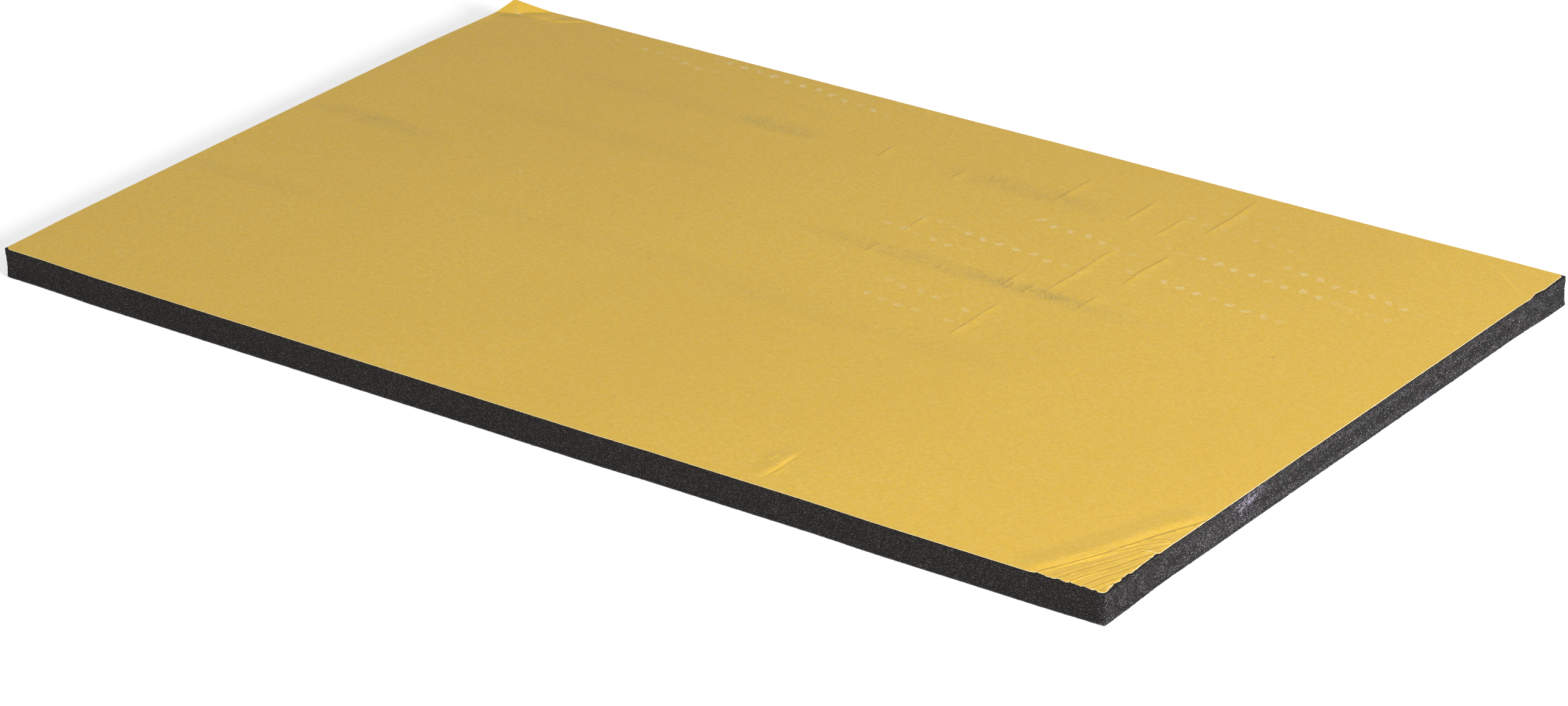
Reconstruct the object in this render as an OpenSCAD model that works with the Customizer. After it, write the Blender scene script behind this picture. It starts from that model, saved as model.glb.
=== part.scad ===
// Self-adhesive acoustic foam panel, lying flat with its covered adhesive face up.
// The origin is at the middle of the underside. X runs along the length, Y across it, Z up.

/* [Foam board] */
// Length of the board
board_l = 1000; // [600:10:1500]
// Width of the board
board_w = 600; // [300:10:1000]
// Thickness of the foam alone
foam_t = 24; // [15:0.5:50]
// How far the knife-cut sides are drawn in at their middle
side_hollow = 0.6; // [0.2:0.1:1.5]
// Width of the upper arris that stays square above the hollow
upper_land = 3; // [1:0.5:5]
// Radius of the lower arris, rolled under by the cutting press
arris_r = 2.5; // [1:0.5:5]
// Radius of the four upright corners
corner_r = 2; // [1:0.5:8]

/* [Release liner] */
// Thickness of the liner with its adhesive film
liner_t = 0.3; // [0.2:0.05:1]
// How far the liner stops short of the upper arris
liner_inset = 0.5; // [0.2:0.1:2]
// Length cut off the liner's two trimmed corners
trim_l = 4.5; // [1:0.5:10]
// Width cut off the liner's two trimmed corners
trim_w = 3; // [1:0.5:10]
// How deep the torn edge near the front right corner bites, against the real one
tear_bite = 1; // [0.5:0.1:2]

/* [Lifted corner] */
// Length of the lifted corner along the long edge
lift_l = 52; // [30:1:80]
// Width of the lifted corner along the short edge
lift_w = 25; // [15:1:50]
// Height that the tip stands off the foam
lift_h = 3; // [1:0.5:6]

/* [Hidden] */
// Smoothness of the arcs
$fn = 96;
// Spare length of a cutting shape past what it cuts
spare = 1;

// Hollow of a side: an arc that spans the height between the land and the lower arris
hollow_span = foam_t - upper_land - arris_r;
hollow_r = (hollow_span * hollow_span / 4 + side_hollow * side_hollow) / (2 * side_hollow);
hollow_z = arris_r + hollow_span / 2;

// Edges of the liner
edge_x = board_l / 2 - liner_inset;
edge_y = board_w / 2 - liner_inset;

// Torn stretch along the front edge: distance back from the right corner, and depth
tear_front = [[55, 0], [51.5, 1.8], [44.5, 0.6], [39, 0.4], [36, 1.8], [29.5, 0.4], [27.5, 1.8],
    [22, 1.4], [18.5, 0.8], [17.5, 2.2], [10.5, 0.8], [9.5, 2], [5.5, 0.5], [3.5, 1.2]];
// Torn stretch along the right edge: distance back from the front corner, and depth
tear_right = [[2, 0.6], [9, 1.8], [16, 2.8], [22, 1.7], [28.5, 2.6], [33, 2.8], [35, 1.2],
    [39, 1.3], [67.5, 1.5], [69, 0]];
// Dip along the right edge near the back corner: distance back from that corner, and depth
dip_right = [[49, 0], [38, 2.4], [28, 0.9], [17, 1.7]];

// Lifted corner: the direction of its bend line, the distance of its tip from that line,
// and the steps in which the sheet curls up over that distance
bend_angle = atan2(lift_w, lift_l);
lift_reach = lift_l * lift_w / norm([lift_l, lift_w]);
curl_steps = 6;

// One section across the board: square above, hollow at mid-height, rolled under below
module board_section(across) {
    difference() {
        translate([-across / 2, 0]) square([across, foam_t]);
        for (side = [-1, 1]) {
            translate([side * (across / 2 + hollow_r - side_hollow), hollow_z]) circle(hollow_r);
            translate([side * across / 2, 0]) mirror([side > 0 ? 1 : 0, 0]) arris_waste();
        }
    }
}

// The sliver that rounding takes off a lower arris
module arris_waste() {
    difference() {
        translate([-spare, -spare]) square(arris_r + spare);
        translate([arris_r, arris_r]) circle(arris_r);
    }
}

// Plan of the board with its rounded upright corners
module board_plan() {
    difference() {
        square([board_l, board_w], center = true);
        for (x = [-1, 1], y = [-1, 1])
            scale([x, y])
                translate([board_l / 2 - corner_r, board_w / 2 - corner_r])
                    difference() {
                        square(corner_r + spare);
                        circle(corner_r);
                    }
    }
}

// Foam board: the length's section and the width's section, mitred at the corners
module foam_slab() {
    color("#2b2927")
        intersection() {
            rotate([90, 0, 0])
                linear_extrude(board_w + 2 * spare, center = true) board_section(board_l);
            rotate([90, 0, 90])
                linear_extrude(board_l + 2 * spare, center = true) board_section(board_w);
            translate([0, 0, -spare]) linear_extrude(foam_t + 2 * spare) board_plan();
        }
}

// Plan of the liner: one torn corner, two trimmed corners and a full one that lifts
module liner_plan() {
    polygon(concat(
        [[-edge_x + trim_l, -edge_y]],
        [for (p = tear_front) [edge_x - p[0], -edge_y + tear_bite * p[1]]],
        [for (p = tear_right) [edge_x - tear_bite * p[1], -edge_y + p[0]]],
        [for (p = dip_right) [edge_x - tear_bite * p[1], edge_y - p[0]]],
        [[edge_x - tear_bite * 2, edge_y - trim_w], [edge_x - trim_l, edge_y]],
        [[-edge_x, edge_y], [-edge_x, -edge_y + trim_w]]
    ));
}

// Height of the sheet at a distance past the bend line: flat before it, then a curl
function curl_height(past) = lift_h * pow(max(past, 0) / lift_reach, 2);

// Section of the sheet across the bend line: flat over the board, curling up past the tip,
// which lies halfway along the last step
module liner_section() {
    far = board_l + board_w;
    step = lift_reach / (curl_steps - 0.5);
    stations = concat([-far], [for (i = [0 : curl_steps]) i * step]);
    lower = [for (u = stations) [u, curl_height(u)]];
    upper = [for (p = lower) [p[0], p[1] + liner_t]];
    polygon(concat(lower, [for (i = [len(upper) - 1 : -1 : 0]) upper[i]]));
}

// Release liner: its section carried along the bend line, within its plan
module release_liner() {
    color("#d9b450")
        translate([0, 0, foam_t])
            intersection() {
                linear_extrude(2 * (lift_h + liner_t) + spare) liner_plan();
                translate([-edge_x + lift_l, edge_y, 0])
                    rotate([0, 0, bend_angle])
                        rotate([90, 0, 90])
                            linear_extrude(2 * (board_l + board_w), center = true) liner_section();
            }
}

foam_slab();
release_liner();
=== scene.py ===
import math
import random

import bpy
import numpy as np
from bpy.props import FloatProperty, FloatVectorProperty, IntProperty, PointerProperty
from mathutils import Matrix, Vector, geometry, noise


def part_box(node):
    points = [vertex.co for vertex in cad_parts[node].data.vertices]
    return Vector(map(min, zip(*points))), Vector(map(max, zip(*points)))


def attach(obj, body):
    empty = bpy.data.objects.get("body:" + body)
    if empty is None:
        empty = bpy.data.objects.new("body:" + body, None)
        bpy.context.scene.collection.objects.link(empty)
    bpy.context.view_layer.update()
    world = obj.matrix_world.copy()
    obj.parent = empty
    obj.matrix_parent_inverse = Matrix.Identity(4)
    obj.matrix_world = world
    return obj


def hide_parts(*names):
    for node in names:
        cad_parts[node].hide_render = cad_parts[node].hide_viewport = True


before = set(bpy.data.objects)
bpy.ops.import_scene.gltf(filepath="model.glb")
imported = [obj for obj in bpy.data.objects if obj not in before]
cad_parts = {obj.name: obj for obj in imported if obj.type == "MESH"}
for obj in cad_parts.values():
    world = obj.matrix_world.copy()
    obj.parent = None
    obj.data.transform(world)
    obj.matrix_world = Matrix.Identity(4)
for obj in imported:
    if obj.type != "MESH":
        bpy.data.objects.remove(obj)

bl_info = {
    "name": "Acoustic foam panel",
    "version": (1, 0, 0),
    "blender": (4, 5, 0),
    "location": "View3D > Sidebar > Foam panel",
    "description": "Dresses a foam board and its release liner over their packed solids",
    "category": "Object",
}

MM = 0.001
BODY = "root"
_, FOAM_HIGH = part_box("foam_slab")
_, LINER_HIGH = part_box("release_liner")
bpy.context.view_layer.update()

# The solid's own sizes, in millimetres
HALF_L = FOAM_HIGH[0] / MM
HALF_W = FOAM_HIGH[1] / MM
FOAM_T = FOAM_HIGH[2] / MM
EDGE_X = LINER_HIGH[0] / MM
EDGE_Y = LINER_HIGH[1] / MM

# Torn stretches of the liner: distance from the near corner, and depth
TEAR_FRONT = (
    (55, 0), (51.5, 1.8), (44.5, 0.6), (39, 0.4), (36, 1.8), (29.5, 0.4), (27.5, 1.8),
    (22, 1.4), (18.5, 0.8), (17.5, 2.2), (10.5, 0.8), (9.5, 2), (5.5, 0.5), (3.5, 1.2),
)
TEAR_RIGHT = (
    (2, 0.6), (9, 1.8), (16, 2.8), (22, 1.7), (28.5, 2.6), (33, 2.8), (35, 1.2),
    (39, 1.3), (67.5, 1.5), (69, 0),
)
# Dip beside the far corner of the right edge: distance from that corner, and depth, then
# the depth at which it meets the trimmed corner
DIP_RIGHT = ((49, 0), (38, 2.4), (28, 0.9), (17, 1.7))
DIP_END = 2
# Length and width cut off the two trimmed corners
TRIM = (4.5, 3)

# Pleats of the near corner, from the front edge to the right edge: points of the foot,
# height, width of the flank before it and of the one behind that, and the step after it
NEAR_PLEATS = (
    (((445, -302), (450, -290.5), (455.3, -280.5), (460.2, -270), (465.3, -259.5),
      (469.5, -248.6), (473.5, -238.5), (477.6, -228), (481, -217.7), (485, -207),
      (489, -197.5), (493.5, -188), (497.5, -178), (501, -168)), 0.5, 7.5, 22.0, 0.26),
    (((461, -300), (464, -292), (467.5, -282), (472, -272), (477, -261), (482.5, -250.5),
      (486, -242), (489, -234), (493, -225), (500, -214)), 0.15, 2.6, 2.6, 0.22),
    (((470, -300), (473.5, -289), (477, -280), (481, -270), (485, -261), (488.5, -251.5),
      (492, -243), (495, -236), (500, -229)), 0.15, 2.6, 2.4, 0.24),
    (((480, -300), (482.5, -290), (485.5, -280), (490, -270), (493.5, -261), (496, -252),
      (499, -244), (501, -240)), 0.14, 2.4, 2.2, 0.24),
    (((487, -299), (489.5, -289), (493, -279), (497, -270), (500, -264)), 0.14, 2.2, 1.9, 0.22),
    (((493, -297), (494.5, -289), (496.5, -281), (500, -274)), 0.14, 1.9, 1.6, 0.2),
)
# Short pleats inside the fan
SHORT_PLEATS = (
    (((461, -268), (467, -256), (472.5, -245), (479, -234), (486.5, -223), (492, -216.5),
      (500, -212)), 0.13, 2.4, 2.4, 0.2),
    (((451, -268), (456, -259), (461, -250), (466, -241)), 0.08, 2.0, 2.0, 0.08),
    (((474, -297), (477, -286.5), (480.5, -277)), 0.07, 1.6, 1.4, 0.12),
    (((485.5, -235.5), (489, -234), (493, -232.5), (500, -231.5)), 0.16, 1.5, 1.2, 0.16),
    (((486, -218), (491, -215.5), (500, -213.5)), 0.14, 1.4, 1.2, 0.14),
    (((457, -286), (461, -277), (465, -268)), 0.07, 2.0, 1.8, 0.08),
)
# Frayed whitish places where the paper is sharply bent: points, and half width
FRAYS = (
    (((490, -233.4), (493, -232.3), (497.5, -231.4)), 0.8),
    (((493, -215.4), (495.5, -214.4), (498.5, -213.6)), 0.45),
    (((494, -292), (495.5, -289), (496.5, -286)), 0.4),
    (((-484.5, 281.3), (-480, 282.3), (-476, 281.8)), 0.8),
    (((-491, 289), (-486, 285.3), (-481.5, 282.8)), 0.6),
)
# Wrinkle by the front edge, two small ones beside it and a fold near the far right corner,
# with the same measures as the pleats
WRINKLES = (
    (((212.5, -291), (213.3, -285), (214, -279.5), (214.5, -273), (214.6, -267),
      (214, -261.5), (213.7, -254.5), (213.7, -245), (214, -238)), 0.34, 4.6, 15.0, 0.09),
    (((202, -266), (202.5, -259), (204, -250)), 0.16, 3.4, 5.0, 0.0),
    (((218.5, -282), (219, -275), (219.5, -266)), 0.12, 2.4, 2.0, 0.0),
    (((493, 254), (486, 258), (479.6, 262.1), (465, 274), (450, 286)), 0.2, 2.0, 3.0, 0.0),
)
# Fold of the lifted corner, from the short edge to the long edge
EAR_FOLD = (
    (-502, 275), (-494, 277.5), (-487, 279.8), (-480.5, 282), (-478.5, 285.5), (-470, 291.3),
    (-455.5, 300.5), (-450, 304),
)
# Ridge before that fold, which runs out to the long edge
EAR_RIDGE = (
    (-484, 281.2), (-476, 281), (-470, 281.6), (-459.5, 282.2), (-450.5, 282.4),
    (-441.5, 282.8), (-433.5, 287.2), (-423, 293.8), (-416, 296.8), (-406, 301),
)
# Small wrinkles inside the lifted corner, with the same measures
EAR_WRINKLES = (
    (((-496, 291.5), (-491, 288.6), (-486, 285), (-480, 281.8)), 0.3, 1.5, 1.5, 0.15),
    (((-487, 295), (-478, 293), (-469, 293.5)), 0.2, 1.6, 1.6, 0.0),
)
# Cross creases: place along the length, then the stretch across the width
CROSS_CREASES = (
    (22, 196, 217), (112, 200, 261), (46.5, 51, 72), (110, 56, 67), (167, 59, 82),
    (173, 55, 70), (187, 55, 74), (200, 60, 165), (237, 50, 83), (184, -36, 37),
    (177, 204, 249), (212, 193, 232), (241, 210, 294), (240, 104, 176), (-52, 201, 228),
    (48, 98, 135),
)
# Distance of the lifted corner's tip from its fold
EAR_REACH = 21.9
# Place of the front wrinkle along the length
WRINKLE_X = 212
# Zones with closely spaced points, as low and high x, then low and high y: the near
# corner, the lifted corner and the front wrinkle
NEAR_ZONE = (425, EDGE_X, -EDGE_Y, -140)
BUSY_ZONES = (NEAR_ZONE, (-EDGE_X, -395, 262, EDGE_Y), (190, 226, -296, -236))
# Seed of the shifts that keep the points off a strict grid
SPOT_SEED = 11
# Where the relief of the lifted corner begins, along and across the board
EAR_START = (-385, 245)
# Where the knife strayed at the corners: start and run of the ramp along the length, the
# same across the width, and the drift in both directions
CORNER_DRIFTS = (
    ((440, 60), (-215, -85), (2.7, 0.7)),
    ((-430, -60), (180, 105), (2.8, 0.0)),
    ((-385, -90), (-225, -60), (1.1, 1.9)),
    ((440, 50), (225, 60), (1.6, -0.4)),
)
# Steps round the lower arris, and up the hollow side
ARRIS_STEPS = 4
HOLLOW_STEPS = 14
# Rings of points under the board: distance in from the rolled arris
UNDER_RINGS = (6, 1.5)
# Rings of points at the upper arris and inside it: inset, and dip below the face
TOP_RINGS = ((0, 0), (1.2, 0), (3.0, 0.02), (6.0, 0.06))
# Heights on the board's side: how deep its top face reaches, the band beside both faces
# that keeps its level, and the foot that stays clear of crumbs
FACE_DEPTH = 0.1
STILL_BAND = 0.5
CLEAR_FOOT = 1.2
# How far in from its edge the right-hand side reaches
SIDE_BAND = 3
# Bright patch of dust on that side: middle along and up the side, and half sizes
DUST_MIDDLE = (-122, 18)
DUST_SIZE = (12, 5.5)
# Spacing of the points along a torn edge and a knife-cut one, and the longest torn stretch
TORN_STEP = 0.9
KNIFE_STEP = 2.5
LONGEST_TEAR = 60
# What the triangulation keeps, which is the inside, and how close points have to be to
# merge
KEEP_INSIDE = 1
MERGE = 1e-4


# Numbers and curves

def linear(level):
    """One sRGB level from 0 to 255 as a linear value."""
    v = level / 255
    return v / 12.92 if v <= 0.04045 else ((v + 0.055) / 1.055) ** 2.4


def tint(red, green, blue):
    """An sRGB colour of 0 to 255 levels as a linear colour."""
    return (linear(red), linear(green), linear(blue), 1.0)


def smooth(t):
    """Eases from 0 to 1, with t as an array or a number."""
    t = np.clip(t, 0.0, 1.0)
    return t * t * (3 - 2 * t)


def ramp(value, start, run):
    """Eases from 0 to 1 as a value leaves the start, over a run with its sign."""
    return smooth((value - start) / run)


def fade(share, over):
    """Eases from 0 at both ends of a line to 1 between them, over that share of it."""
    return smooth(share / over) * smooth((1 - share) / over)


def smooth_line(points, step):
    """A rounded line through the points, with a point about every step."""
    pts = [np.array(p, float) for p in points]
    pts = [2 * pts[0] - pts[1]] + pts + [2 * pts[-1] - pts[-2]]
    out = []
    for a, b, c, d in zip(pts, pts[1:], pts[2:], pts[3:]):
        count = max(1, round(float(np.linalg.norm(c - b)) / step))
        for i in range(count):
            t = i / count
            out.append(0.5 * (2 * b + (c - a) * t + (2 * a - 5 * b + 4 * c - d) * t * t
                              + (3 * b - a - 3 * c + d) * t ** 3))
    out.append(pts[-2])
    return np.array(out)


def beside(line, away):
    """The line moved to its left by that distance."""
    along = np.gradient(line, axis=0)
    along /= np.linalg.norm(along, axis=1)[:, None]
    return line + away * np.stack([-along[:, 1], along[:, 0]], axis=1)


def from_line(points, line):
    """Distance to the left of the line, and the share of its length, for each point."""
    a = line[:-1]
    run = line[1:] - a
    length = np.linalg.norm(run, axis=1)
    start = np.concatenate([[0], np.cumsum(length)[:-1]])
    nearest = np.full(len(points), np.inf)
    left = np.zeros(len(points))
    share = np.zeros(len(points))
    for i in range(len(a)):
        off = points - a[i]
        t = np.clip(off @ run[i] / length[i] ** 2, 0, 1)
        gap = np.linalg.norm(off - t[:, None] * run[i], axis=1)
        side = np.sign(run[i][0] * off[:, 1] - run[i][1] * off[:, 0])
        closer = gap < nearest
        nearest = np.where(closer, gap, nearest)
        left = np.where(closer, side * gap, left)
        share = np.where(closer, (start[i] + t * length[i]) / length.sum(), share)
    return left, share


def wobble(x, y, scale, seed):
    """Smooth noise from -1 to 1 at a place in millimetres."""
    return noise.noise(Vector((x / scale, y / scale, seed)))


def stray(x, y):
    """How far the knife left the true rectangle at a place, in millimetres."""
    left_bow = -1.4 * (1 - (y / HALF_W) ** 2)
    right_wave = 0.5 * wobble(0, y, 110, 5.1) * ramp(abs(y), 230, -60)
    front_wave = 0.5 * wobble(x, 0, 130, 2.2) * ramp(abs(x), 430, -60)
    front_bow = 0.9 * ramp(x, 60, 80) * ramp(x, 320, -60)
    back_bow = 1.5 * ramp(x, 330, -300) * ramp(x, -500, 60)
    dx = left_bow * ramp(x, -470, -26) + right_wave * ramp(x, 470, 28)
    dy = (front_wave + front_bow) * ramp(y, -270, -28) + back_bow * ramp(y, 262, 36)
    for (x_start, x_run), (y_start, y_run), (x_drift, y_drift) in CORNER_DRIFTS:
        share = ramp(y, y_start, y_run) * ramp(x, x_start, x_run)
        dx += x_drift * share
        dy += y_drift * share
    return float(dx), float(dy)


def strayed(verts):
    """The points moved as the knife strayed."""
    out = []
    for x, y, z in verts:
        dx, dy = stray(x, y)
        out.append((x + dx, y + dy, z))
    return out


# Meshes

def mesh_from(name, verts, faces):
    """A mesh from points in millimetres and faces."""
    mesh = bpy.data.meshes.new(name)
    mesh.from_pydata([tuple(c * MM for c in v) for v in verts], [], faces)
    mesh.update()
    return mesh


def object_from(name, mesh):
    """A new object at the origin that holds the mesh."""
    obj = bpy.data.objects.new(name, mesh)
    bpy.context.scene.collection.objects.link(obj)
    return obj


def add_values(mesh, name, values):
    """Stores one value per point under a name that materials and trees read."""
    layer = mesh.attributes.new(name, "FLOAT", "POINT")
    layer.data.foreach_set("value", np.asarray(values, dtype=np.float32))


def inside(points, outline):
    """Which of the points lie within the closed outline."""
    hit = np.zeros(len(points), bool)
    for (x0, y0), (x1, y1) in zip(outline, np.roll(outline, -1, axis=0)):
        if y0 != y1:
            crosses = (points[:, 1] < y0) != (points[:, 1] < y1)
            hit ^= crosses & (points[:, 0] < (x1 - x0) * (points[:, 1] - y0) / (y1 - y0) + x0)
    return hit


def fill(outline, lines, spots):
    """Triangles within an outline that keep the lines as edges and use the spots."""
    count = len(outline)
    points = [Vector(p) for p in outline]
    edges = []
    for line in lines:
        first = len(points)
        points += [Vector(p) for p in line]
        edges += [(first + i, first + i + 1) for i in range(len(line) - 1)]
    points += [Vector(p) for p in spots]
    verts, _, faces, _, _, _ = geometry.delaunay_2d_cdt(
        points, edges, [list(range(count))], KEEP_INSIDE, MERGE)
    return np.array([tuple(v) for v in verts]), [tuple(f) for f in faces]


def rim_edges(faces):
    """The open edges of a sheet of triangles, each in its face's direction."""
    seen = {}
    for face in faces:
        for a, b in zip(face, face[1:] + face[:1]):
            if (b, a) in seen:
                del seen[(b, a)]
            else:
                seen[(a, b)] = True
    return list(seen)


# The foam board

def board_ring(inset, radius, steps_x, steps_y, steps_corner=4):
    """Points and outward directions round the board at that inset, from the front right."""
    hx = HALF_L - inset
    hy = HALF_W - inset
    corners = ((hx - radius, -hy + radius, -90), (hx - radius, hy - radius, 0),
               (-hx + radius, hy - radius, 90), (-hx + radius, -hy + radius, 180))
    points = []
    outward = []
    for i, (cx, cy, start) in enumerate(corners):
        for k in range(steps_corner + 1):
            turn = math.radians(start + 90 * k / steps_corner)
            points.append((cx + radius * math.cos(turn), cy + radius * math.sin(turn)))
            outward.append((math.cos(turn), math.sin(turn)))
        facing = outward[-1]
        ax, ay = points[-1]
        nx, ny, _ = corners[(i + 1) % 4]
        bx, by = nx + radius * facing[0], ny + radius * facing[1]
        steps = steps_x if i % 2 else steps_y
        for k in range(1, steps):
            points.append((ax + (bx - ax) * k / steps, ay + (by - ay) * k / steps))
            outward.append(facing)
    return points, outward


def board_profile(settings):
    """Insets and heights up the side of the board, from under it to its top."""
    arris = settings.arris_radius / MM
    hollow = settings.side_hollow / MM
    land = settings.upper_land / MM
    top = FOAM_T - land
    levels = [(arris + inward, 0) for inward in UNDER_RINGS]
    for k in range(ARRIS_STEPS + 1):
        turn = math.radians(90 * k / ARRIS_STEPS)
        levels.append((arris - arris * math.sin(turn), arris - arris * math.cos(turn)))
    for k in range(1, HOLLOW_STEPS + 1):
        t = k / HOLLOW_STEPS
        levels.append((4 * hollow * t * (1 - t), arris + (top - arris) * t))
    levels.append((0, top + land / 2))
    return levels + [(inset, FOAM_T - dip) for inset, dip in TOP_RINGS]


def side_dust(x, y, z):
    """How much pale dust lies at a place on the right-hand cut side."""
    if x < HALF_L - SIDE_BAND:
        return 0.0
    # A bright slanted patch, a thin line along the foot and a haze over all
    up = z - DUST_MIDDLE[1]
    along = y - DUST_MIDDLE[0] - up
    patch = math.exp(-(along / DUST_SIZE[0]) ** 2 - (up / DUST_SIZE[1]) ** 2)
    foot = math.exp(-((z - 4) / 3) ** 2) * ramp(y, -190, 40) * ramp(y, 260, -80)
    cloud = 0.5 + 0.5 * wobble(y, z * 2, 9, 3.7)
    clump = ramp(wobble(y, z * 1.4, 2.6, 8.3), -0.25, 0.5)
    haze = 0.08 * ramp(y, -240, 60)
    dust = 1.9 * patch * clump * (0.4 + cloud) + 0.12 * foot * cloud * cloud + haze * cloud
    return float(min(1.0, dust))


def cap_spots(gap):
    """Staggered points over a large face of the board, clear of its short edges."""
    xs = np.arange(-HALF_L + gap, HALF_L - gap / 2, gap)
    ys = np.arange(-HALF_W + gap, HALF_W - gap / 2, gap)
    spots = [(x + (gap / 2 if j % 2 else 0), y) for j, y in enumerate(ys) for x in xs]
    return [s for s in spots if abs(s[0]) < HALF_L - gap * 0.7]


def cut_board(settings):
    """Mesh of the foam board: rough cut sides, a square upper arris and a rolled lower one."""
    rng = random.Random(settings.seed)
    pitch = settings.cell_pitch / MM
    depth = settings.cell_depth / MM
    levels = board_profile(settings)
    verts = []
    cut = []
    dust = []
    for inset, z in levels:
        radius = max(settings.corner_radius / MM - inset, 0.4)
        points, outward = board_ring(inset, radius, round(2 * HALF_L / pitch),
                                     round(2 * HALF_W / pitch))
        on_top = z > FOAM_T - FACE_DEPTH
        side = 0.0 if z <= 0.01 or (on_top and inset > 0.5) else 1.0
        clear = side if z > CLEAR_FOOT else 0.0
        for (x, y), (ox, oy) in zip(points, outward):
            # Slow waves of the knife, and the pit or wall of each open cell
            coarse = wobble(x + 0.7 * z, y + 1.3 * z, 4.5, z / 4.5)
            push = side * depth * (0.5 * coarse + rng.uniform(-0.8, 0.35))
            sink = 0.0
            if STILL_BAND < z < FOAM_T - STILL_BAND:
                sink = side * depth * rng.uniform(-0.5, 0.5)
            elif on_top and inset < 2:
                sink = -depth * rng.uniform(0, 0.9)
            verts.append((x + ox * push, y + oy * push, max(z + sink, 0.0)))
            cut.append(clear)
            dust.append(side_dust(x, y, z) * clear)
    count = len(verts) // len(levels)
    faces = []
    for low in range(0, len(verts) - count, count):
        for k in range(count):
            n = (k + 1) % count
            faces.append((low + k, low + n, low + count + n, low + count + k))
    for first, flip in ((0, True), (len(verts) - count, False)):
        rim = [v[:2] for v in verts[first:first + count]]
        z = verts[first][2]
        flat, tris = fill(rim, (), cap_spots(settings.cap_spacing / MM))
        ids = list(range(first, first + count))
        ids += [len(verts) + i for i in range(len(flat) - count)]
        verts += [(x, y, z) for x, y in flat[count:]]
        for a, b, c in tris:
            faces.append((ids[c], ids[b], ids[a]) if flip else (ids[a], ids[b], ids[c]))
    unmarked = [0.0] * (len(verts) - len(cut))
    mesh = mesh_from("foam_board", strayed(verts), faces)
    add_values(mesh, "cut_side", cut + unmarked)
    add_values(mesh, "dust", dust + unmarked)
    return mesh


# The liner

def jagged(x, seed, coarse, fine):
    """Uneven depth of a torn edge at a distance along it."""
    return coarse * wobble(x, 0, 5.0, seed) + fine * wobble(x, 9, 1.3, seed)


def liner_outline(settings):
    """Outline of the liner, anticlockwise from its front left, with its torn stretches."""
    rough = settings.tear_roughness / MM
    knife = settings.cut_waviness / MM
    corners = [(-EDGE_X + TRIM[0], -EDGE_Y)]
    corners += [(EDGE_X - p, -EDGE_Y + d) for p, d in TEAR_FRONT]
    corners += [(EDGE_X - d, -EDGE_Y + p) for p, d in TEAR_RIGHT]
    corners += [(EDGE_X - d, EDGE_Y - p) for p, d in DIP_RIGHT]
    corners += [(EDGE_X - DIP_END, EDGE_Y - TRIM[1]), (EDGE_X - TRIM[0], EDGE_Y)]
    corners += [(-EDGE_X, EDGE_Y), (-EDGE_X, -EDGE_Y + TRIM[1])]
    corners = np.array(corners)
    last_torn = len(TEAR_FRONT) + len(TEAR_RIGHT)
    points = []
    for i, (a, b) in enumerate(zip(corners, np.roll(corners, -1, axis=0))):
        run = b - a
        length = float(np.linalg.norm(run))
        inward = np.array([-run[1], run[0]]) / length
        tear = i <= last_torn and length < LONGEST_TEAR
        count = max(1, round(length / (TORN_STEP if tear else KNIFE_STEP)))
        for k in range(count):
            p = a + run * k / count
            if tear:
                push = abs(jagged(p[0] + p[1], 0.5, 0.6 * rough, rough))
            else:
                ends = min(1.0, min(k, count - k) / 3)
                push = abs(jagged(p[0] + p[1], i, 0.6 * knife, knife)) * ends
            points.append(p + inward * push)
    return np.array(points)


def pleat(left, share, rise, front, back, step, tail=0.10):
    """Height of a pleat: a crest to the left of its foot line, and a small step after it."""
    rising = np.clip(left / front, 0, 1)
    crest = rising * (1.4 - 0.4 * rising) * (1 - ramp(left, front, back))
    after = np.clip(-left / 0.5, 0, 1) * (1 - ramp(left, -0.5, -3.0))
    ends = ramp(share, -0.02, tail) * ramp(share, 1.02, -tail)
    return ends * np.where(left > 0, rise * crest, step * after)


def foot_line(left, share, width=0.8):
    """How close a point is to a foot line, from 0 to 1, fading at the line's ends."""
    return np.clip(1 - np.abs(left) / width, 0, 1) * fade(share, 0.1)


def frayed(points):
    """How frayed the sheet is at each point, from 0 to 1."""
    fray = np.zeros(len(points))
    for shape, width in FRAYS:
        left, share = from_line(points, smooth_line(shape, 1))
        thin = width * (0.35 + 0.65 * np.sin(np.pi * np.clip(share, 0, 1)))
        fray = np.maximum(fray, np.clip(1.3 - np.abs(left) / thin, 0, 1))
    return fray


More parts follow.
